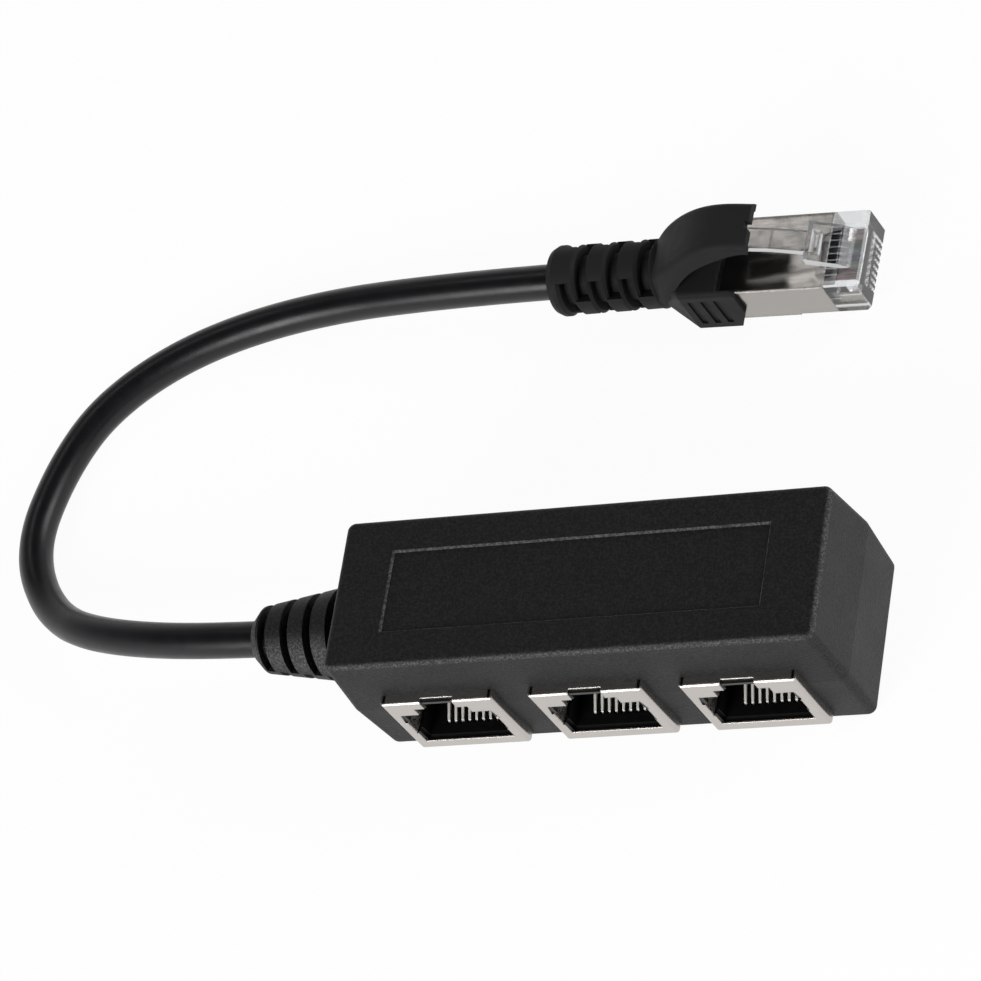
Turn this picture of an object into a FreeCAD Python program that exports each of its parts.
import FreeCAD, Part
import math
import os
import re

import Sketcher
from FreeCAD import Placement, Rotation, Vector

# Network port splitter adapter: a moulded housing with three shielded jacks,
# a short lead and a shielded modular plug under a snag-free boot.
# X runs along the housing, the jacks face -Y, +Z points up to the label recess,
# and the origin is the middle of the housing's underside.

doc = FreeCAD.newDocument("port_splitter")

# Driving dimensions, in millimetres and degrees.
SIZES = {
    # housing
    "parting_length": 70.6,
    "parting_width": 23.0,
    "housing_height": 22.4,
    "top_draft": 3.6,
    "bottom_draft": 2.4,
    "corner_round": 1.2,
    "rim_round": 0.9,
    "recess_length": 54.0,
    "recess_width": 12.0,
    "recess_depth": 0.3,
    "recess_slope": 40.0,
    # strain relief on the housing
    "relief_length": 15.9,
    "relief_tip_radius": 4.6,
    "relief_root_radius": 6.7,
    "relief_tip_round": 1.4,
    "relief_core_radius": 3.3,
    "relief_slot": 1.25,
    "relief_pitch": 3.7,
    "relief_first_slot": 2.4,
    # inner mould and board
    "skin_end": 2.5,
    "skin_back": 2.4,
    "skin_front": 2.2,
    "skin_top": 2.4,
    "board_end_gap": 0.8,
    "board_back_gap": 0.2,
    "board_front_gap": 0.6,
    "board_thickness": 1.6,
    # jacks
    "jack_pitch": 21.38,
    "jack_width": 16.2,
    "jack_height": 13.05,
    "jack_drop": 9.7,
    "jack_proud": 1.2,
    "sheet": 0.25,
    "fold_round": 0.5,
    "flange_depth": 3.6,
    "fold_slot": 0.4,
    "opening_width": 13.0,
    "opening_low": 2.1,
    "opening_high": 9.8,
    "step_width": 7.8,
    "step_high": 11.4,
    "notch_width": 4.7,
    "notch_depth": 0.75,
    "tab_low": 4.7,
    "tab_high": 7.5,
    "tab_reach": 5.0,
    "tab_bend": 1.2,
    "tab_step": 0.2,
    "tab_window": 0.45,
    "peg_width": 1.2,
    "peg_length": 2.4,
    # jack insert and contacts
    "cavity_width": 11.9,
    "cavity_low": 2.35,
    "cavity_depth": 11.4,
    "socket_back_wall": 1.15,
    "channel_width": 7.4,
    "channel_high": 11.3,
    "key_width": 4.3,
    "key_high": 12.3,
    "contact_pitch": 1.02,
    "contact_width": 0.34,
    "contact_sheet": 0.3,
    "contact_rest": 0.1,
    "contact_turn": 0.35,
    "contact_rise": 1.0,
    "contact_tip_back": 0.9,
    "contact_tip_rise": 3.9,
    "comb_slot": 0.62,
    "comb_start": 2.3,
    "comb_low": 0.9,
    "carrier_depth": 2.6,
    "tail_row": 1.3,
    "tail_proud": 0.8,
    # lead
    "cable_diameter": 5.0,
    "wire_diameter": 0.85,
    "wire_row": 1.1,
    "wire_tier": 1.5,
    # plug
    "plug_width": 11.68,
    "plug_height": 6.6,
    "plug_length": 21.5,
    "plug_turn": -2.31,
    "plug_nose_x": 27.94,
    "plug_nose_y": 54.42,
    "nose_chamfer": 0.9,
    "shield_start": 5.0,
    "blade_width": 0.35,
    "blade_slot": 0.5,
    "blade_length": 6.2,
    "blade_back": 1.0,
    "blade_sunk": 0.4,
    "jacket_bore": 5.2,
    "jacket_stop": 10.5,
    "sleeve_floor_start": 10.6,
    "guide_length": 5.6,
    "guide_back": 9.4,
    "guide_width": 8.9,
    "guide_height": 1.7,
    "wire_line": 3.0,
    "latch_width": 6.0,
    "latch_tail_width": 3.2,
    "latch_root": 1.3,
    "latch_shoulder": 7.2,
    "latch_shoulder_rise": 2.2,
    "latch_step": 1.4,
    "latch_knee": 12.0,
    "latch_knee_rise": 3.9,
    "latch_tip": 18.6,
    "latch_tip_rise": 5.0,
    "latch_sheet": 0.9,
    "latch_slot": 0.9,
    "latch_slot_width": 3.4,
    # boot
    "boot_wall": 0.66,
    "boot_floor_wall": 1.5,
    "boot_roof_wall": 0.9,
    "boot_rim": 20.6,
    "boot_shoulder": 25.9,
    "boot_waist": 29.2,
    "boot_round": 0.8,
    "grip_front": 17.9,
    "grip_wall": 0.9,
    "grip_groove": 0.9,
    "grip_pitch": 1.9,
    "hood_front": 13.6,
    "hood_sheet": 1.1,
    "hood_notch": 0.6,
    "tail_length": 17.8,
    "tail_tip_radius": 4.9,
    "tail_root_radius": 4.85,
    "tail_tip_round": 1.2,
    "tail_core_radius": 3.3,
    "tail_slot": 1.7,
    "tail_slot_bevel": 0.4,
    "tail_pitch": 4.7,
    "tail_first_slot": 5.5,
    # clearances
    "slip": 0.05,
    "bore_slip": 0.15,
}

CONTACTS = 8
JACKS = 3
TOP_SLOTS = 3
RELIEF_SLOTS = 4
SLOT_HALF_ANGLE = 70.0
SIDE_SLOT_START = 36.0
GRIP_GROOVES = 3

# The lead's route, point by point, from inside the housing to inside the plug.
ROUTE = [
    (-32.5, 0.0, 11.2),
    (-56.3, 0.0, 11.2),
    (-79.6, 4.1, 7.6),
    (-91.6, 11.0, 3.0),
    (-97.3, 21.8, 2.5),
    (-94.7, 34.6, 2.5),
    (-89.0, 44.6, 2.5),
    (-76.4, 52.7, 2.5),
    (-58.4, 57.1, 2.5),
    (-34.5, 56.3, 5.0),
    (-1.04, 55.59, 4.85),
    (13.95, 54.98, 4.8),
]
# A corner of the route is rounded over this share of its shorter run.
ARC_SHARE = 0.45

sheet = doc.addObject("Spreadsheet::Sheet", "dims")
for row, (word, number) in enumerate(SIZES.items(), 1):
    sheet.set(f"A{row}", word)
    sheet.set(f"B{row}", str(number))
    sheet.setAlias(f"B{row}", word)
doc.recompute()


def size(word):
    """A driving dimension as the sheet holds it."""
    return float(sheet.get(word))


def in_sheet(text):
    """An expression with each driving dimension's name pointed at the sheet."""
    return re.sub(r"[a-z_]+", lambda m: "dims." + m.group() if m.group() in SIZES else m.group(), text)


def bind(thing, **expressions):
    """Tie properties to the sheet, such as Length='jack_depth - sheet'."""
    for name, text in expressions.items():
        thing.setExpression(name, in_sheet(text))


def new_body(label):
    body = doc.addObject("PartDesign::Body", label)
    body.Label = label
    return body


def origin_part(body, role):
    return [part for part in body.Origin.OriginFeatures if part.Role == role][0]


def outline(body, name, plane, corners, offset="0"):
    """A closed straight-sided sketch on an origin plane, each corner given as two expressions."""
    sketch = body.newObject("Sketcher::SketchObject", name)
    sketch.AttachmentSupport = [(origin_part(body, plane), "")]
    sketch.MapMode = "FlatFace"
    sketch.setExpression("AttachmentOffset.Base.z", in_sheet(offset))
    count = len(corners)
    starts = []
    for k in range(count):
        turn = 2 * math.pi * k / count
        starts.append(Vector(10 * math.cos(turn), 10 * math.sin(turn), 0))
    for k in range(count):
        sketch.addGeometry(Part.LineSegment(starts[k], starts[(k + 1) % count]), False)
    for k in range(count):
        sketch.addConstraint(Sketcher.Constraint("Coincident", k, 2, (k + 1) % count, 1))
    for k, (across, along) in enumerate(corners):
        for kind, text, start in (("DistanceX", across, starts[k].x), ("DistanceY", along, starts[k].y)):
            index = sketch.addConstraint(Sketcher.Constraint(kind, -1, 1, k, 1, start))
            sketch.setExpression(f"Constraints[{index}]", in_sheet(text))
    doc.recompute()
    return sketch


def rectangle(low_x, low_y, high_x, high_y):
    return [(low_x, low_y), (high_x, low_y), (high_x, high_y), (low_x, high_y)]


def centred(width, low_y, high_y):
    """Corners of a rectangle centred across, with its two heights given."""
    return rectangle(f"-({width}) / 2", low_y, f"({width}) / 2", high_y)


def pad(body, name, sketch, length, back=None):
    """Pad a sketch along its normal, or both ways when back is given."""
    feature = body.newObject("PartDesign::Pad", name)
    feature.Profile = sketch
    bind(feature, Length=length)
    if back is not None:
        feature.SideType = "Two sides"
        bind(feature, Length2=back)
    doc.recompute()
    return feature


def pocket(body, name, sketch, length, back="0.01"):
    """Cut a sketch both ways from its plane: length against its normal, back along it."""
    before = body.Shape.Volume
    feature = body.newObject("PartDesign::Pocket", name)
    feature.Profile = sketch
    feature.SideType = "Two sides"
    bind(feature, Length=length, Length2=back)
    doc.recompute()
    if body.Shape.Volume > before - 1e-6:
        raise RuntimeError(name + " cuts nothing")
    return feature


def fillet(body, name, radius, picks):
    """Round the edges of the body's tip that the pick test accepts."""
    base = body.Tip
    edges = [f"Edge{k}" for k, edge in enumerate(base.Shape.Edges, 1) if picks(edge)]
    feature = body.newObject("PartDesign::Fillet", name)
    feature.Base = (base, edges)
    bind(feature, Radius=radius)
    doc.recompute()
    return feature


def repeat(body, name, features, role, count, pitch):
    """A straight pattern of features along an origin axis."""
    pattern = body.newObject("PartDesign::LinearPattern", name)
    pattern.Originals = features
    pattern.Direction = (origin_part(body, role), [""])
    pattern.Mode = "Spacing"
    pattern.Occurrences = count
    bind(pattern, Offset=pitch)
    body.Tip = pattern
    doc.recompute()
    return pattern


def box(name, low, high):
    """A Part box between two corners given as expressions."""
    solid = doc.addObject("Part::Box", name)
    bind(
        solid,
        Length=f"({high[0]}) - ({low[0]})",
        Width=f"({high[1]}) - ({low[1]})",
        Height=f"({high[2]}) - ({low[2]})",
    )
    solid.setExpression("Placement.Base.x", in_sheet(low[0]))
    solid.setExpression("Placement.Base.y", in_sheet(low[1]))
    solid.setExpression("Placement.Base.z", in_sheet(low[2]))
    return solid


def fuse(name, parts):
    joined = doc.addObject("Part::MultiFuse", name)
    joined.Shapes = parts
    return joined


def cut(name, base, tool):
    left = doc.addObject("Part::Cut", name)
    left.Base = base
    left.Tool = tool
    return left


def coded(name, shape):
    """A sub-part whose shape comes from Part's own functions."""
    feature = doc.addObject("Part::Feature", name)
    feature.Shape = shape
    return feature


NODES = []


def finish(feature, label):
    """Give a finished sub-part its label and put it on the list to write out."""
    feature.Label = label
    NODES.append(feature)
    return feature


def vertical(edge):
    span = edge.BoundBox
    return span.ZLength > 3 * max(span.XLength, span.YLength)


def level_at(height):
    def test(edge):
        span = edge.BoundBox
        return span.ZLength < 1e-6 and abs(span.ZMin - height) < 1e-6

    return test


# Places that several pieces share.
AXIS_Z = "housing_height / 2"
INSERT_DEPTH = "(cavity_depth + socket_back_wall)"
JACK_DEPTH = f"({INSERT_DEPTH} + carrier_depth + sheet)"
JACK_FRONT = "-(parting_width / 2 + jack_proud)"
JACK_BACK = f"({JACK_FRONT} + {JACK_DEPTH})"
JACK_FLOOR = "(housing_height / 2 - jack_drop)"
JACK_TOP = f"({JACK_FLOOR} + jack_height)"
BOARD_TOP = f"({JACK_TOP} + board_thickness)"

axis_z = size("housing_height") / 2
insert_depth = size("cavity_depth") + size("socket_back_wall")
jack_front = -(size("parting_width") / 2 + size("jack_proud"))
jack_top = axis_z - size("jack_drop") + size("jack_height")
jack_places = [(k - (JACKS - 1) / 2) * size("jack_pitch") for k in range(JACKS)]
board_top = jack_top + size("board_thickness")


# Lead: straight runs joined by tangent arcs.
def route_wire(points, share=ARC_SHARE, report=False):
    corners = [Vector(*point) for point in points]
    edges = []
    start = corners[0]
    for before, corner, after in zip(corners, corners[1:], corners[2:]):
        back = (before - corner).normalize()
        on = (after - corner).normalize()
        half_turn = (math.pi - back.getAngle(on)) / 2
        reach = share * min(before.distanceToPoint(corner), corner.distanceToPoint(after))
        radius = reach / math.tan(half_turn)
        if report:
            print(f"bend at {tuple(round(v, 1) for v in corner)}: radius {radius:.1f}")
        first = corner + back * reach
        last = corner + on * reach
        inwards = (back + on).normalize()
        middle = corner + inwards * (radius / math.cos(half_turn) - radius)
        edges.append(Part.LineSegment(start, first).toShape())
        edges.append(Part.Arc(first, middle, last).toShape())
        start = last
    edges.append(Part.LineSegment(start, corners[-1]).toShape())
    return Part.Wire(edges)


def tube(wire, radius):
    """A solid round bar along a wire."""
    start = wire.Edges[0].valueAt(wire.Edges[0].FirstParameter)
    ring = Part.Wire(Part.Circle(start, wire.Edges[0].tangentAt(wire.Edges[0].FirstParameter), radius).toShape())
    solid = wire.makePipeShell([ring], True, False)
    if solid.Volume < 0:
        solid.reverse()
    return solid


cable_radius = size("cable_diameter") / 2
cable_wire = route_wire(ROUTE, report=True)
cable = coded("cable", tube(cable_wire, cable_radius))
expected = math.pi * cable_radius**2 * cable_wire.Length
print(f"cable length {cable_wire.Length:.1f}, volume {cable.Shape.Volume:.0f} against {expected:.0f}")
finish(cable, "cable_jacket")

# Housing: drafted both ways from the parting line at mid-height.
housing = new_body("housing_form")
parting = outline(
    housing,
    "parting_outline",
    "XY_Plane",
    centred("parting_length", "-parting_width / 2", "parting_width / 2"),
    AXIS_Z,
)
shell = pad(housing, "drafted_block", parting, AXIS_Z, AXIS_Z)
bind(shell, TaperAngle="-top_draft", TaperAngle2="-bottom_draft")
doc.recompute()
fillet(housing, "corner_rounds", "corner_round", vertical)
top_test = level_at(size("housing_height"))
bottom_test = level_at(0.0)
fillet(housing, "rim_rounds", "rim_round", lambda edge: top_test(edge) or bottom_test(edge))

recess = outline(
    housing,
    "recess_outline",
    "XY_Plane",
    centred("recess_length", "-recess_width / 2", "recess_width / 2"),
    "housing_height",
)
label_recess = pocket(housing, "label_recess", recess, "recess_depth")
bind(label_recess, TaperAngle="-recess_slope")
doc.recompute()

# Strain relief, turned about the lead's axis and slotted from above and below in turn.
RELIEF_TIP = "-(parting_length / 2 + relief_length)"
relief_profile = outline(
    housing,
    "relief_profile",
    "XZ_Plane",
    [
        ("-parting_length / 2 + skin_end", "0"),
        ("-parting_length / 2 + skin_end", "relief_root_radius"),
        ("-parting_length / 2 - 0.6", "relief_root_radius"),
        (RELIEF_TIP + " + relief_tip_round", "relief_tip_radius"),
        (RELIEF_TIP, "relief_tip_radius - relief_tip_round"),
        (RELIEF_TIP, "0"),
    ],
)
relief_profile.setExpression("AttachmentOffset.Base.y", in_sheet(AXIS_Z))
relief = housing.newObject("PartDesign::Revolution", "relief_cone")
relief.Profile = relief_profile
relief.ReferenceAxis = (relief_profile, ["H_Axis"])
relief.Angle = 360
doc.recompute()

for side, sign, shift, count in (("upper", "", "0", RELIEF_SLOTS), ("lower", "-", "relief_pitch / 2", RELIEF_SLOTS - 1)):
    near = f"{RELIEF_TIP} + relief_first_slot - relief_slot / 2 + {shift}"
    slot_profile = outline(
        housing,
        side + "_slot_profile",
        "XZ_Plane",
        rectangle(near, f"{sign}relief_core_radius", near + " + relief_slot", f"{sign}(relief_root_radius + 1)"),
    )
    slot_profile.setExpression("AttachmentOffset.Base.y", in_sheet(AXIS_Z))
    slot = housing.newObject("PartDesign::Groove", side + "_slot")
    slot.Profile = slot_profile
    slot.ReferenceAxis = (slot_profile, ["H_Axis"])
    slot.Type = "Angle"
    slot.Angle = 180
    slot.Midplane = True
    doc.recompute()
    repeat(housing, side + "_slots", [slot], "X_Axis", count, "relief_pitch")
print("housing form volume", round(housing.Shape.Volume))

# Envelopes that the mouldings are cast round.
mould_low = ("-(parting_length / 2 - skin_end)", "-(parting_width / 2 - skin_front)", JACK_FLOOR)
mould_high = ("parting_length / 2 - skin_end", "parting_width / 2 - skin_back", "housing_height - skin_top")
mould_block = box("mould_block", mould_low, mould_high)
mould_hollow = box("mould_hollow", mould_low, mould_high)

jack_blocks = []
jack_hollows = []
for k in range(JACKS):
    left = f"({k - (JACKS - 1) / 2} * jack_pitch - jack_width / 2)"
    low = (left, JACK_FRONT, JACK_FLOOR)
    high = (left + " + jack_width", JACK_BACK, JACK_TOP)
    jack_blocks.append(box(f"jack_{k + 1}_block", low, high))
    jack_hollows.append(box(f"jack_{k + 1}_hollow", low, high))

cable_core = coded("cable_core", cable.Shape)
housing_hollow = fuse("housing_hollow", [mould_hollow, cable_core] + jack_hollows)
finish(cut("housing", housing, housing_hollow), "housing_overmould")

# Circuit board, laid on the jacks' backs.
BOARD_END = "(parting_length / 2 - skin_end - board_end_gap)"
board_low = (f"-{BOARD_END}", "-(parting_width / 2 - skin_front - board_front_gap)", JACK_TOP)
board_high = (BOARD_END, "parting_width / 2 - skin_back - board_back_gap", BOARD_TOP)
board_block = box("board_block", board_low, board_high)
board_envelope = box("board_envelope", board_low, board_high)

first_row = insert_depth + size("carrier_depth") / 2 - size("tail_row") / 2
tail_rows = (first_row, first_row + size("tail_row"))
contact_places = [(k - (CONTACTS - 1) / 2) * size("contact_pitch") for k in range(CONTACTS)]
drill = size("contact_width") + 0.3
peg_depth = insert_depth / 2 + size("flange_depth") / 2
drills = []
for place in jack_places:
    for k, across in enumerate(contact_places):
        hole = Part.makeBox(drill, drill, 3 * size("board_thickness"))
        hole.translate(Vector(place + across - drill / 2, jack_front + tail_rows[k % 2] - drill / 2, jack_top - 1))
        drills.append(hole)
    for side in (-1, 1):
        wide = size("sheet") + 4 * size("slip")
        long = size("peg_width") + 4 * size("slip")
        hole = Part.makeBox(wide, long, 3 * size("board_thickness"))
        middle = place + side * (size("jack_width") - size("sheet")) / 2
        hole.translate(Vector(middle - wide / 2, jack_front + peg_depth - long / 2, jack_top - 1))
        drills.append(hole)

# Conductors from the lead's end up to the board, in two tiers that land in two columns.
wire_radius = size("wire_diameter") / 2
lead_end = ROUTE[0][0]
columns = (lead_end + 1.4, lead_end + 2.5)
board_wires = []
for tier, (rise, column) in enumerate(((0.5, columns[0]), (-0.5, columns[1]))):
    for k in range(CONTACTS // 2):
        across = (k - 1.5) * size("wire_row")
        spread = (k - 1.5) * 2 * size("wire_row")
        height = axis_z + rise * size("wire_tier")
        points = [
            Vector(lead_end, across, height),
            Vector(column, across, height),
            Vector(column, spread, jack_top - 1.0),
            Vector(column, spread, board_top + size("tail_proud")),
        ]
        path = Part.makePolygon(points)
        ring = Part.Wire(Part.Circle(points[0], Vector(1, 0, 0), wire_radius).toShape())
        board_wires.append(path.makePipeShell([ring], True, False, 1))
        hole = Part.makeCylinder(wire_radius + size("slip"), 3 * size("board_thickness"))
        hole.translate(Vector(column, spread, jack_top - 1))
        drills.append(hole)
finish(coded("board_conductors", Part.makeCompound(board_wires)), "board_wires")
finish(cut("board", board_block, coded("board_drills", Part.makeCompound(drills))), "circuit_board")

# Inner mould: cast round board and jacks, open where the conductors and tails stand.
wire_pocket = box(
    "wire_pocket",
    ("-(parting_length / 2 - skin_end)", "-4.2", "housing_height / 2 - cable_diameter / 2"),
    ("-(jack_pitch + jack_width / 2)", "4.2", BOARD_TOP + " + tail_proud + 0.2"),
)
tail_pockets = []
for k in range(JACKS):
    middle = f"({k - (JACKS - 1) / 2} * jack_pitch)"
    tail_pockets.append(
        box(
            f"tail_pocket_{k + 1}",
            (middle + " - jack_width / 2", JACK_FRONT + " + flange_depth + 2", BOARD_TOP + " - 0.1"),
            (middle + " + jack_width / 2", JACK_BACK, BOARD_TOP + " + tail_proud + 0.2"),
        )
    )
mould_core = fuse("mould_core", [board_envelope, wire_pocket] + jack_blocks + tail_pockets)
finish(cut("mould", mould_block, mould_core), "inner_mould")


# Jacks. Each is modelled with its front at y = 0 and its floor at z = 0.
INNER_WIDTH = "(jack_width - 2 * sheet)"


def place_jack(feature, number):
    index = number - 1 - (JACKS - 1) / 2
    feature.setExpression("Placement.Base.x", in_sheet(f"{index} * jack_pitch"))
    feature.setExpression("Placement.Base.y", in_sheet(JACK_FRONT))
    feature.setExpression("Placement.Base.z", in_sheet(JACK_FLOOR))
    return feature


def stepped(half_low, low, high):
    """The front opening's outline: main opening, step for the latch and key above it."""
    return [
        (f"-{half_low}", low),
        (half_low, low),
        (half_low, high),
        ("step_width / 2", high),
        ("step_width / 2", "step_high"),
        ("notch_width / 2", "step_high"),
        ("notch_width / 2", "jack_height + 1"),
        ("-notch_width / 2", "jack_height + 1"),
        ("-notch_width / 2", "step_high"),
        ("-step_width / 2", "step_high"),
        ("-step_width / 2", high),
        (f"-{half_low}", high),
    ]


def jack_shield(number):
    body = new_body(f"jack_{number}_shell")
    back = outline(body, "back", "XZ_Plane", centred("jack_width", "0", "jack_height"), f"-{JACK_DEPTH}")
    pad(body, "block", back, JACK_DEPTH)

    def fold(edge):
        span = edge.BoundBox
        at_front = span.YMax < 0.01
        under = span.YLength > 1 and span.ZMax < 0.01
        return at_front or under

    fillet(body, "folds", "fold_round", fold)
    inner = outline(
        body,
        "inner",
        "XY_Plane",
        rectangle(
            f"-{INNER_WIDTH} / 2",
            "flange_depth",
            f"{INNER_WIDTH} / 2",
            f"{JACK_DEPTH} - sheet",
        ),
        "jack_height",
    )
    pocket(body, "open_back", inner, "jack_height - sheet", "1")
    under = outline(body, "under", "XZ_Plane", centred(INNER_WIDTH, "sheet", "jack_height - sheet"), "-sheet")
    pocket(body, "behind_front", under, "flange_depth", "0.0001")
    mouth = outline(body, "mouth", "XZ_Plane", stepped("opening_width / 2", "opening_low", "opening_high"))
    pocket(body, "front_mouth", mouth, "sheet + 0.05", "1")
    key = outline(body, "key", "XY_Plane", centred("notch_width", "-1", "notch_depth"), "jack_height")
    pocket(body, "key_notch", key, "1", "1")
    for side, sign in (("left", "-"), ("right", "")):
        slit = outline(
            body,
            side + "_slit",
            "XY_Plane",
            rectangle(
                f"{sign}(jack_width / 2 - sheet - fold_slot)",
                "sheet + 0.1",
                f"{sign}(jack_width / 2 - sheet)",
                "flange_depth + 0.1",
            ),
            "jack_height",
        )
        pocket(body, side + "_corner_slit", slit, "sheet + 0.1", "1")
        relief = outline(
            body,
            side + "_relief",
            "XZ_Plane",
            [
                (f"{sign}(opening_width / 2 - 0.1)", "tab_low - 0.3"),
                (f"{sign}(opening_width / 2 + tab_step)", "tab_low - 0.3"),
                (f"{sign}(opening_width / 2 + tab_step)", "tab_high"),
                (f"{sign}(opening_width / 2 + tab_window)", "tab_high"),
                (f"{sign}(opening_width / 2 + 0.1)", "opening_high"),
                (f"{sign}(opening_width / 2 - 0.1)", "opening_high"),
            ],
        )
        pocket(body, side + "_tab_relief", relief, "sheet + 0.05", "1")
        tab = outline(
            body,
            side + "_tab",
            "XY_Plane",
            [
                (f"{sign}(opening_width / 2 + tab_step - 0.05)", "0.03"),
                (f"{sign}(opening_width / 2 + tab_step + sheet)", "0.03"),
                (f"{sign}(opening_width / 2 + sheet - 0.15)", "tab_bend"),
                (f"{sign}(opening_width / 2 + sheet - 0.15)", "tab_reach"),
                (f"{sign}(opening_width / 2 - 0.15)", "tab_reach"),
                (f"{sign}(opening_width / 2 - 0.15)", "tab_bend"),
            ],
            "tab_low",
        )
        pad(body, side + "_ground_tab", tab, "tab_high - tab_low")
        peg = outline(
            body,
            side + "_peg",
            "YZ_Plane",
            [
                (f"({INSERT_DEPTH} + flange_depth) / 2 - peg_width / 2", "jack_height - 1"),
                (f"({INSERT_DEPTH} + flange_depth) / 2 + peg_width / 2", "jack_height - 1"),
                (f"({INSERT_DEPTH} + flange_depth) / 2 + peg_width / 4", "jack_height + peg_length"),
                (f"({INSERT_DEPTH} + flange_depth) / 2 - peg_width / 4", "jack_height + peg_length"),
            ],
            f"{sign}(jack_width / 2 - sheet / 2)",
        )
        pad(body, side + "_board_peg", peg, "sheet / 2", "sheet / 2")
    return finish(place_jack(body, number), f"jack_{number}_shield")


def jack_insert(number):
    body = new_body(f"jack_{number}_socket")
    block = outline(
        body,
        "block",
        "XZ_Plane",
        centred(INNER_WIDTH, "sheet", "jack_height - sheet"),
        "-" + INSERT_DEPTH,
    )
    pad(body, "block_pad", block, f"{INSERT_DEPTH} - sheet")
    rails = outline(
        body,
        "rails",
        "XY_Plane",
        rectangle(f"-{INNER_WIDTH} / 2", "flange_depth", f"{INNER_WIDTH} / 2", INSERT_DEPTH),
        "jack_height - sheet",
    )
    pad(body, "board_seat", rails, "sheet")
    main = outline(body, "main", "XZ_Plane", centred("cavity_width", "cavity_low", "opening_high - 0.1"))
    pocket(body, "main_cavity", main, "cavity_depth", "1")
    channel = outline(body, "channel", "XZ_Plane", centred("channel_width", "cavity_low", "channel_high"))
    pocket(body, "latch_channel", channel, "cavity_depth", "1")
    key = outline(body, "key", "XZ_Plane", centred("key_width", "cavity_low", "key_high"))
    pocket(body, "key_channel", key, "cavity_depth - 2", "1")
    lip = outline(body, "lip", "XZ_Plane", centred("cavity_width + 0.6", "cavity_low - 0.35", "opening_high"))
    pocket(body, "lead_in", lip, "sheet + 0.6", "1")
    for side, sign in (("left", "-"), ("right", "")):
        slot = outline(
            body,
            side + "_slot",
            "XZ_Plane",
            rectangle(
                f"{sign}(cavity_width / 2 - 0.1)",
                "tab_low - 0.1",
                f"{sign}(opening_width / 2 + tab_window)",
                "tab_high + 0.1",
            ),
        )
        pocket(body, side + "_tab_slot", slot, "tab_reach + 0.4", "1")
    comb = outline(
        body,
        "comb",
        "XZ_Plane",
        rectangle(
            f"-({CONTACTS - 1} * contact_pitch + comb_slot) / 2",
            "comb_low",
            f"-({CONTACTS - 1} * contact_pitch - comb_slot) / 2",
            "cavity_low + 0.1",
        ),
        "-comb_start",
    )
    first = pocket(body, "comb_slot", comb, f"{INSERT_DEPTH} - comb_start + 0.1")
    repeat(body, "comb_slots", [first], "X_Axis", CONTACTS, "contact_pitch")
    return finish(place_jack(body, number), f"jack_{number}_insert")


def contact_wire(across, row):
    """One sprung wire: down from the board, forward under the cavity and back up into it."""
    low = size("comb_low") + size("contact_rest") + size("contact_sheet") / 2
    turn = size("comb_start") + size("contact_rest") + size("contact_sheet") / 2
    tip = size("cavity_depth") - size("contact_tip_back")
    line = [
        (row, size("jack_height") + size("board_thickness") + size("tail_proud")),
        (row, low),
        (turn + size("contact_turn"), low),
        (turn, low + size("contact_rise") / 2),
        (turn + size("contact_turn"), low + size("contact_rise")),
        (tip, low + size("contact_tip_rise")),
    ]
    path = Part.makePolygon([Vector(across, depth, height) for depth, height in line])
    half_width = size("contact_width") / 2
    half_sheet = size("contact_sheet") / 2
    top = line[0][1]
    profile = Part.makePolygon(
        [
            Vector(across - half_width, row - half_sheet, top),
            Vector(across + half_width, row - half_sheet, top),
            Vector(across + half_width, row + half_sheet, top),
            Vector(across - half_width, row + half_sheet, top),
            Vector(across - half_width, row - half_sheet, top),
        ]
    )
    solid = path.makePipeShell([profile], True, False, 1)
    if solid.Volume < 0:
        solid.reverse()
    return solid


wires = Part.makeCompound([contact_wire(across, tail_rows[k % 2]) for k, across in enumerate(contact_places)])
for number in range(1, JACKS + 1):
    jack_shield(number)
    jack_insert(number)
    bar = box(
        f"carrier_{number}_bar",
        (f"-{INNER_WIDTH} / 2", INSERT_DEPTH, "sheet"),
        (f"{INNER_WIDTH} / 2", f"{JACK_DEPTH} - sheet", "jack_height"),
    )
    carrier = cut(f"carrier_{number}", bar, coded(f"carrier_{number}_core", wires))
    finish(place_jack(carrier, number), f"jack_{number}_carrier")
    contacts = coded(f"contacts_{number}", wires)
    finish(place_jack(contacts, number), f"jack_{number}_contacts")


# Plug. It is modelled with its nose at x = 0, its latch face at z = 0 and its rear towards -X.
def place_plug(feature):
    feature.setExpression("Placement.Base.x", in_sheet("plug_nose_x"))
    feature.setExpression("Placement.Base.y", in_sheet("plug_nose_y"))
    feature.setExpression("Placement.Base.z", in_sheet("plug_height + boot_floor_wall"))
    feature.Placement.Rotation = Rotation(Vector(0, 0, 1), size("plug_turn"))
    feature.setExpression("Placement.Rotation.Angle", in_sheet("plug_turn"))
    return feature


PLUG_FLOOR = "(plug_height - sheet)"
clear = new_body("plug_moulding")
side_view = outline(
    clear,
    "side_view",
    "XZ_Plane",
    [
        ("-plug_length", "-sheet"),
        ("-shield_start", "-sheet"),
        ("-shield_start", "0"),
        ("-nose_chamfer / 3", "0"),
        ("0", "-nose_chamfer / 3"),
        ("0", f"-{PLUG_FLOOR} + nose_chamfer"),
        ("-nose_chamfer", f"-{PLUG_FLOOR}"),
        ("-plug_length", f"-{PLUG_FLOOR}"),
    ],
)
pad(clear, "block", side_view, "plug_width / 2", "plug_width / 2")
for side, sign in (("left", "-"), ("right", "")):
    step = outline(
        clear,
        side + "_step",
        "XY_Plane",
        rectangle(
            "-plug_length - 1",
            f"{sign}(plug_width / 2 - sheet)",
            "-shield_start",
            f"{sign}(plug_width / 2 + 1)",
        ),
    )
    pocket(clear, side + "_shield_seat", step, "plug_height", "1")
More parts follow.
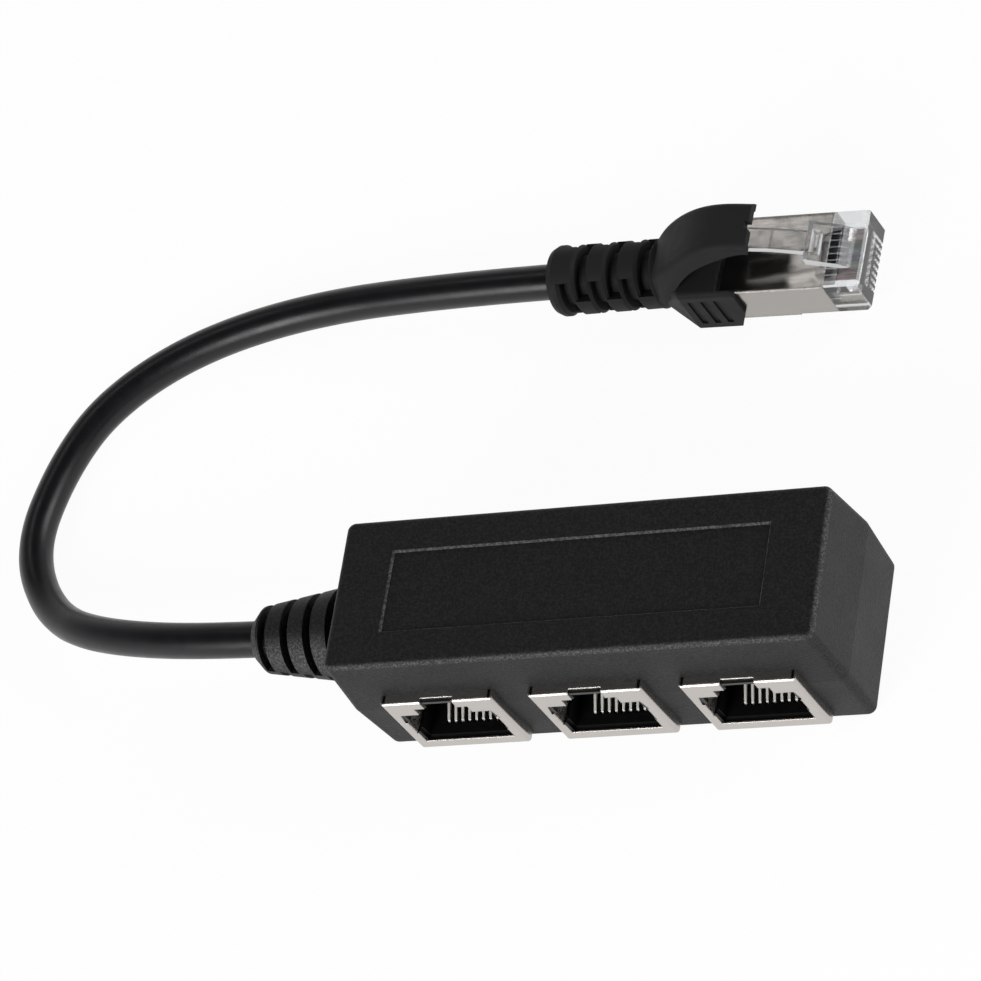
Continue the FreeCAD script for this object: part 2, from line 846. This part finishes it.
jacket_room = outline(
    clear,
    "jacket_room",
    "YZ_Plane",
    centred("jacket_bore + 2.4", "-sheet - 0.45 - jacket_bore", "-sheet - 0.45"),
    "-jacket_stop",
)
pocket(clear, "jacket_cavity", jacket_room, "plug_length - jacket_stop + 1", "0.01")
guide_room = outline(
    clear,
    "guide_room",
    "YZ_Plane",
    centred("guide_width + 2 * slip", "-wire_line - guide_height / 2 - slip", "-wire_line + guide_height / 2 + slip"),
    "-(guide_back - guide_length)",
)
pocket(clear, "guide_cavity", guide_room, "jacket_stop - guide_back + guide_length + 0.1")
wire_room = outline(
    clear,
    "wire_room",
    "YZ_Plane",
    centred(
        f"{CONTACTS - 1} * contact_pitch + wire_diameter + 2 * slip",
        "-wire_line - wire_diameter / 2 - slip",
        "-wire_line + wire_diameter / 2 + slip",
    ),
    "-blade_back + 0.3",
)
pocket(clear, "wire_row_cavity", wire_room, "guide_back - guide_length - blade_back + 0.5")
blade_room = outline(
    clear,
    "blade_room",
    "YZ_Plane",
    rectangle(
        f"-({CONTACTS - 1} * contact_pitch + blade_slot) / 2",
        "-plug_height - 1",
        f"-({CONTACTS - 1} * contact_pitch - blade_slot) / 2",
        "-wire_line",
    ),
    "1",
)
blade_slot = pocket(clear, "blade_slot", blade_room, "blade_back + blade_length + 1 + slip")
repeat(clear, "blade_slots", [blade_slot], "Y_Axis", CONTACTS, "contact_pitch")
latch_wide = outline(
    clear,
    "latch_wide",
    "XZ_Plane",
    [
        ("-latch_root", "-0.1"),
        ("-latch_root - 1.5", "1.1"),
        ("-latch_shoulder", "latch_shoulder_rise + latch_step / 2"),
        ("-latch_shoulder", "latch_shoulder_rise - latch_step / 2"),
        ("-latch_root - 2.2", "0.25"),
        ("-latch_root - 1.6", "-0.1"),
    ],
)
pad(clear, "latch_head", latch_wide, "latch_width / 2", "latch_width / 2")
latch_narrow = outline(
    clear,
    "latch_narrow",
    "XZ_Plane",
    [
        ("-latch_shoulder + 0.8", "latch_shoulder_rise - latch_step / 2 - 0.1"),
        ("-latch_shoulder + 0.8", "latch_shoulder_rise + latch_sheet / 4"),
        ("-latch_knee", "latch_knee_rise"),
        ("-latch_tip", "latch_tip_rise"),
        ("-latch_tip", "latch_tip_rise - latch_sheet"),
        ("-latch_knee", "latch_knee_rise - latch_sheet"),
    ],
)
pad(clear, "latch_tail", latch_narrow, "latch_tail_width / 2", "latch_tail_width / 2")
latch_gap = outline(
    clear,
    "latch_gap",
    "XY_Plane",
    rectangle(
        "-latch_shoulder + latch_slot * 2 / 3",
        "-latch_slot_width / 2",
        "-latch_shoulder + latch_slot * 5 / 3",
        "latch_slot_width / 2",
    ),
    "latch_shoulder_rise / 4",
)
pocket(clear, "latch_head_slot", latch_gap, "0.01", "latch_tip_rise")
finish(place_plug(clear), "plug_body")

# Plug shield: a folded sleeve, with a floor only at its rear.
sleeve = new_body("plug_sleeve")
sleeve_face = outline(sleeve, "face", "YZ_Plane", centred("plug_width", "-plug_height", "0"), "-plug_length")
pad(sleeve, "sleeve_block", sleeve_face, "plug_length - shield_start")
sleeve_bore = outline(
    sleeve,
    "bore",
    "YZ_Plane",
    centred("plug_width - 2 * sheet", f"-{PLUG_FLOOR}", "-sheet"),
    "-shield_start",
)
pocket(sleeve, "sleeve_bore", sleeve_bore, "plug_length", "1")
sleeve_open = outline(
    sleeve,
    "open_front",
    "XZ_Plane",
    rectangle("-sleeve_floor_start", "-plug_height - 1", "0", f"-{PLUG_FLOOR}"),
)
pocket(sleeve, "floor_cut", sleeve_open, "plug_width", "plug_width")
finish(place_plug(sleeve), "plug_shield")

# Blades: one plate each, with two teeth that pierce the conductor above.
TEETH = "(-wire_line + wire_diameter / 4)"
VALLEY = "(-wire_line - wire_diameter / 2 - 3 * slip)"
blade = new_body("blade_set")
blade_view = outline(
    blade,
    "blade_view",
    "XZ_Plane",
    [
        ("-blade_back", "-plug_height + sheet + blade_sunk"),
        ("-blade_back", VALLEY),
        ("-blade_back - blade_length / 5", TEETH),
        ("-blade_back - blade_length * 2 / 5", VALLEY),
        ("-blade_back - blade_length * 3 / 5", VALLEY),
        ("-blade_back - blade_length * 4 / 5", TEETH),
        ("-blade_back - blade_length", VALLEY),
        ("-blade_back - blade_length", "-plug_height + sheet + blade_sunk"),
    ],
)
blade_view.setExpression("AttachmentOffset.Base.z", in_sheet(f"{(CONTACTS - 1) / 2} * contact_pitch"))
first_blade = pad(blade, "blade", blade_view, "blade_width / 2", "blade_width / 2")
repeat(blade, "blades", [first_blade], "Y_Axis", CONTACTS, "contact_pitch")
finish(place_plug(blade), "plug_contacts")

# Conductors in the plug: they fan out from two tiers in the jacket into one row.
plug_place = Placement(
    Vector(size("plug_nose_x"), size("plug_nose_y"), size("plug_height") + size("boot_floor_wall")),
    Rotation(Vector(0, 0, 1), size("plug_turn")),
)
jacket_end = plug_place.inverse().multVec(Vector(*ROUTE[-1]))
row_height = -size("wire_line")
plug_wires = []
for k, across in enumerate(contact_places):
    tier = 0.5 - k % 2
    aside = (k - (CONTACTS - 1) / 2) * size("wire_row") / 2
    start = jacket_end + Vector(0.02, aside, tier * size("wire_tier"))
    points = [
        start,
        start + Vector(0.5, 0, 0),
        Vector(-size("guide_back") - 0.4, across, row_height),
        Vector(-size("blade_back"), across, row_height),
    ]
    path = Part.makePolygon(points)
    ring = Part.Wire(Part.Circle(points[0], points[1] - points[0], wire_radius).toShape())
    plug_wires.append(path.makePipeShell([ring], True, False, 1))
for k, shape in enumerate(plug_wires, 1):
    wire = cut(f"wire_{k}", coded(f"wire_{k}_whole", shape), coded(f"wire_{k}_bite", blade.Tip.Shape))
    finish(place_plug(wire), f"plug_wire_{k}")

guide_block = box(
    "guide_block",
    ("-guide_back", "-guide_width / 2", "-wire_line - guide_height / 2"),
    ("-guide_back + guide_length", "guide_width / 2", "-wire_line + guide_height / 2"),
)
guide_holes = []
for across in contact_places:
    hole = Part.makeBox(size("guide_length") + 2, size("wire_diameter"), size("wire_diameter"))
    hole.translate(
        Vector(-size("guide_back") - 1, across - size("wire_diameter") / 2, row_height - size("wire_diameter") / 2)
    )
    guide_holes.append(hole)
blade_bites = coded("blade_bites", blade.Tip.Shape)
guide_holes_all = fuse("guide_core", [coded("guide_holes", Part.makeCompound(guide_holes)), blade_bites])
finish(place_plug(cut("guide", guide_block, guide_holes_all)), "plug_wire_guide")

# Boot: a block that grips the plug's rear, a hood over the latch and a slotted tail.
block = new_body("boot_block")
BOOT_HALF = "(plug_width / 2 + boot_wall)"
plan = outline(
    block,
    "plan",
    "XY_Plane",
    rectangle("-boot_shoulder", f"-{BOOT_HALF}", "-boot_rim", BOOT_HALF),
)
pad(block, "block", plan, "boot_roof_wall", "plug_height + boot_floor_wall")
for side, sign in (("left", "-"), ("right", "")):
    grip_view = outline(
        block,
        side + "_grip_view",
        "XZ_Plane",
        [
            ("-boot_rim - 0.5", "boot_roof_wall"),
            ("-grip_front - boot_round", "boot_roof_wall"),
            ("-grip_front", "boot_roof_wall - boot_round"),
            ("-grip_front", "-plug_height * 2 / 3"),
            ("-boot_rim + boot_round", "-(plug_height + boot_floor_wall)"),
            ("-boot_rim - 0.5", "-(plug_height + boot_floor_wall)"),
        ],
        f"{sign}({BOOT_HALF} - grip_wall / 2)",
    )
    pad(block, side + "_grip", grip_view, "grip_wall / 2", "grip_wall / 2")


def long_outer_edge(edge):
    span = edge.BoundBox
    at_side = abs(abs(edge.CenterOfMass.y) - size("plug_width") / 2 - size("boot_wall")) < 1e-6
    return at_side and span.XLength > 2 and span.ZLength < 1e-6


fillet(block, "long_rounds", "boot_round", long_outer_edge)
for side, sign in (("left", "-"), ("right", "")):
    groove_view = outline(
        block,
        side + "_groove_view",
        "XZ_Plane",
        rectangle(
            "-boot_shoulder + grip_groove",
            "-plug_height + 0.2",
            "-boot_shoulder + 2 * grip_groove",
            "-0.7",
        ),
        f"{sign}{BOOT_HALF}",
    )
    groove = pocket(block, side + "_groove", groove_view, "grip_groove / 3", "grip_groove / 3")
    repeat(block, side + "_grooves", [groove], "X_Axis", GRIP_GROOVES, "grip_pitch")

tail_line = size("sheet") + size("jacket_bore") / 2 + 0.4
block_middle = (size("plug_height") + size("boot_floor_wall") - size("boot_roof_wall")) / 2
block_half_height = (size("plug_height") + size("boot_floor_wall") + size("boot_roof_wall")) / 2
block_half_width = size("plug_width") / 2 + size("boot_wall")


def rounded_section(station, half_width, half_height, middle, corner):
    """A rounded rectangle across the plug's axis."""
    y_in = half_width - corner
    z_in = half_height - corner
    lean = corner * math.sqrt(0.5)
    edges = []
    for quarter in range(4):
        side_y, side_z = ((1, 1), (-1, 1), (-1, -1), (1, -1))[quarter]
        centre = Vector(station, side_y * y_in, middle + side_z * z_in)
        out_y = centre + Vector(0, side_y * corner, 0)
        out_z = centre + Vector(0, 0, side_z * corner)
        first, last = (out_y, out_z) if quarter % 2 == 0 else (out_z, out_y)
        if edges:
            edges.append(Part.LineSegment(edges[-1].Vertexes[-1].Point, first).toShape())
        edges.append(Part.Arc(first, centre + Vector(0, side_y * lean, side_z * lean), last).toShape())
    edges.append(Part.LineSegment(edges[-1].Vertexes[-1].Point, edges[0].Vertexes[0].Point).toShape())
    return Part.Wire(edges)


# The waist blends the block's section into the tail's round one.
tail_radius = size("tail_root_radius")
waist_sections = [
    rounded_section(
        -size("boot_shoulder"), block_half_width, block_half_height, -block_middle, size("boot_round")
    ),
    rounded_section(-size("boot_waist"), tail_radius, tail_radius, -tail_line, 0.9 * tail_radius),
]
boot_neck = coded("boot_neck", Part.makeLoft(waist_sections, True, False))


def arch(station, half_top, high, half_edge, low, skin):
    """A section of the hood: an arch of even thickness, open below."""
    bend = 0.9
    outer = [(-half_edge, low), (-half_top, high), (half_top, high), (half_edge, low)]
    inner = [(half_edge - skin, low), (half_top - 0.35 * skin, high - skin)]
    inner += [(-half_top + 0.35 * skin, high - skin), (-half_edge + skin, low)]
    points = [Vector(station, across, up) for across, up in outer + inner]
    edges = []
    start = points[0]
    for k in (1, 2):
        back = (points[k - 1] - points[k]).normalize()
        on = (points[k + 1] - points[k]).normalize()
        half_turn = (math.pi - back.getAngle(on)) / 2
        radius = bend / math.tan(half_turn)
        middle = points[k] + (back + on).normalize() * (radius / math.cos(half_turn) - radius)
        edges.append(Part.LineSegment(start, points[k] + back * bend).toShape())
        edges.append(Part.Arc(points[k] + back * bend, middle, points[k] + on * bend).toShape())
        start = points[k] + on * bend
    for point in points[3:] + points[:1]:
        edges.append(Part.LineSegment(start, point).toShape())
        start = point
    return Part.Wire(edges)


HOOD_STATIONS = [
    (-size("hood_front"), 3.3, 7.7, 3.9, 6.3),
    (-18.0, 3.5, 8.1, 4.1, 5.8),
    (-22.0, 3.7, 7.1, 4.6, 4.4),
    (-24.8, 3.9, 5.5, 5.1, 2.4),
    (-26.8, 3.9, 4.1, 5.6, 0.2),
    (-30.2, 3.2, 1.1, 4.8, -2.6),
]
hood_wires = [arch(*station, size("hood_sheet")) for station in HOOD_STATIONS]
hood = coded("hood_arch", Part.makeLoft(hood_wires, True, False))

tail = new_body("boot_tail")
TAIL_TIP = "-tail_length"
tail_profile = outline(
    tail,
    "tail_profile",
    "XZ_Plane",
    [
        ("0", "0"),
        ("0", "tail_root_radius - 0.6"),
        ("-1.6", "tail_root_radius"),
        (TAIL_TIP + " + tail_tip_round", "tail_tip_radius"),
        (TAIL_TIP + " + tail_tip_round / 3", "tail_tip_radius - tail_tip_round / 3"),
        (TAIL_TIP, "tail_tip_radius - tail_tip_round"),
        (TAIL_TIP, "0"),
    ],
)
turned = tail.newObject("PartDesign::Revolution", "tail_cone")
turned.Profile = tail_profile
turned.ReferenceAxis = (tail_profile, ["H_Axis"])
turned.Angle = 360
doc.recompute()
for side, plane, sign, shift, turn in (
    ("top", "XZ_Plane", "", "0", 2 * SLOT_HALF_ANGLE),
    ("bottom", "XZ_Plane", "-", "0", 2 * SLOT_HALF_ANGLE),
    ("near", "XY_Plane", "-", "tail_pitch / 2", 180 - 2 * SIDE_SLOT_START),
    ("far", "XY_Plane", "", "tail_pitch / 2", 180 - 2 * SIDE_SLOT_START),
):
    middle = f"{TAIL_TIP} + tail_first_slot - {shift}"
    slot_profile = outline(
        tail,
        side + "_slot_profile",
        plane,
        [
            (middle + " - tail_slot / 2", f"{sign}tail_core_radius"),
            (middle + " + tail_slot / 2", f"{sign}tail_core_radius"),
            (middle + " + tail_slot / 2", f"{sign}(tail_root_radius - tail_slot_bevel)"),
            (middle + " + tail_slot / 2 + 2 * tail_slot_bevel", f"{sign}(tail_root_radius + tail_slot_bevel)"),
            (middle + " - tail_slot / 2 - 2 * tail_slot_bevel", f"{sign}(tail_root_radius + tail_slot_bevel)"),
            (middle + " - tail_slot / 2", f"{sign}(tail_root_radius - tail_slot_bevel)"),
        ],
    )
    slot = tail.newObject("PartDesign::Groove", side + "_slot")
    slot.Profile = slot_profile
    slot.ReferenceAxis = (slot_profile, ["H_Axis"])
    slot.Type = "Angle"
    slot.Angle = turn
    slot.Midplane = True
    doc.recompute()
    repeat(tail, side + "_slots", [slot], "X_Axis", TOP_SLOTS, "tail_pitch")
waist = Vector(*ROUTE[-2])
along = waist - Vector(*ROUTE[-3])
tail.Placement = Placement(waist, Rotation(Vector(1, 0, 0), along))

place_plug(block)
place_plug(hood)
place_plug(boot_neck)
plug_seat = box(
    "plug_seat",
    ("-plug_length - slip", "-plug_width / 2 - slip", "-plug_height - slip"),
    ("0", "plug_width / 2 + slip", "slip"),
)
grip_gap = box(
    "grip_gap",
    ("-boot_rim", "-plug_width / 2 - slip", "-plug_height - boot_floor_wall - 1"),
    ("0", "plug_width / 2 + slip", "boot_roof_wall + 0.1"),
)
front_notch = box(
    "front_notch",
    ("-hood_front - hood_notch", "-hood_notch", "latch_tip_rise"),
    ("0", "hood_notch", "2 * latch_tip_rise"),
)
seat_room = place_plug(fuse("seat_room", [plug_seat, grip_gap, front_notch]))
bore = coded("lead_bore", tube(cable_wire, cable_radius + size("bore_slip")))
boot_solid = fuse("boot_solid", [block, boot_neck, hood, tail])
boot_core = fuse("boot_core", [seat_room, bore])
finish(cut("boot", boot_solid, boot_core), "plug_boot")

# Check the document and every sub-part, then write the parts out.
doc.recompute()
for thing in doc.Objects:
    if "Invalid" in thing.State or "Error" in thing.State:
        raise RuntimeError(f"{thing.Name} failed: {thing.State}")
os.makedirs("parts", exist_ok=True)
for node in NODES:
    shape = node.Shape
    if shape.isNull() or not shape.isValid():
        raise RuntimeError(node.Label + " is not a valid shape")
    print(f"{node.Label}: {len(shape.Solids)} solids, {shape.Volume:.1f} cubic mm")
    shape.exportStep(f"parts/{node.Label}.step")
